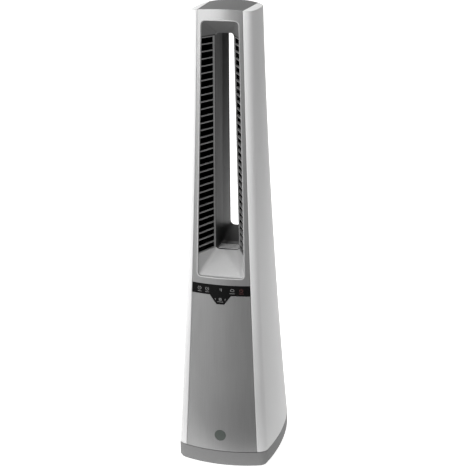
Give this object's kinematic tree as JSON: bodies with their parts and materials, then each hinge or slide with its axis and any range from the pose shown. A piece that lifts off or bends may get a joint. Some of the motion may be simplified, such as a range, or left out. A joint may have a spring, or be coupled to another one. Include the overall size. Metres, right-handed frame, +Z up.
{
  "type": "tower fan",
  "caption": "Floor-standing tower fan with an open air channel between side louvres, touch strip, swinging flared tower and weighted foot.",
  "frame": {"origin": "middle of the footprint, on the floor under the rubber feet", "axes": "+Z up, the air outlet and control strip face -Y, +X to the fan's left seen from behind the controls (right-hand side of someone facing the fan's front)"},
  "size_m": [0.207, 0.248, 0.945],
  "materials": {
    "white_shell": "satin white moulding",
    "silver_paint": "silver metallic paint",
    "light_silver": "light silver moulding",
    "dark_grey": "dark grey moulding",
    "cap_grey": "dark brushed grey",
    "foot_grey": "dark grey gloss",
    "louvre_black": "black moulding",
    "gloss_black": "high-gloss black",
    "badge_green": "muted green-grey",
    "steel": "zinc-plated steel",
    "cast": "raw casting",
    "rubber": "black rubber",
    "acetal": "natural acetal",
    "inner_black": "black inner moulding",
    "copper": "copper winding",
    "magnet": "ferrite",
    "board": "circuit board",
    "filter": "open foam mat"
  },
  "bodies": {
    "base": {"base_cover": "foot_grey", "base_plate": "inner_black", "ballast_plate": "cast", "rubber_feet": "rubber", "base_screws": "steel", "pivot_hub": "acetal", "thrust_washer": "acetal", "fixed_gear": "acetal", "gear_screws": "steel", "cord_gland": "rubber", "terminal_block": "acetal"},
    "tower": {"left_shell": "white_shell", "right_shell": "white_shell", "front_frame": "silver_paint", "front_panel": "silver_paint", "badge_disc": "badge_green", "control_lens": "gloss_black", "top_cap": "cap_grey", "rear_frame": "silver_paint", "rear_cover": "silver_paint", "intake_filter": "filter", "lower_scoop": "light_silver", "upper_scoop": "dark_grey", "channel_liner": "dark_grey", "left_louvre": "louvre_black", "right_louvre": "louvre_black", "left_duct": "inner_black", "right_duct": "inner_black", "air_manifold": "inner_black", "turntable_bush": "acetal", "tower_floor": "inner_black", "swing_posts": "inner_black", "swing_motor": "steel", "motor_carrier": "inner_black", "motor_isolators": "rubber", "motor_can": "steel", "lower_bearing": "steel", "upper_bearing": "steel", "motor_stator": "copper", "blower_housing": "inner_black", "inlet_ring": "inner_black", "diffuser": "inner_black", "power_board": "board", "board_brackets": "inner_black", "control_board": "board", "touch_springs": "steel", "display_module": "inner_black", "motor_lead": "rubber", "panel_lead": "rubber"},
    "rotor": {"impeller": "inner_black", "motor_shaft": "steel", "magnet_rotor": "magnet", "shaft_nut": "steel"},
    "pinion": {"drive_pinion": "acetal", "swing_shaft": "steel"}
  },
  "joints": [
    {"name": "tower_swing", "type": "hinge", "parent": "base", "child": "tower", "pos_m": [0, 0, 0.04], "axis": [0, 0, 1], "range_deg": [-40, 40]},
    {"name": "impeller_spin", "type": "hinge", "parent": "tower", "child": "rotor", "pos_m": [0, -0.015, 0.2], "axis": [0, 0, 1], "continuous": true},
    {"name": "pinion_spin", "type": "hinge", "parent": "tower", "child": "pinion", "pos_m": [0, 0.04515, 0.049], "axis": [0, 0, 1], "range_deg": [-170, 170]}
  ],
  "couplings": [
    {"joint": "pinion_spin", "follows": "tower_swing", "ratio": 4}
  ]
}
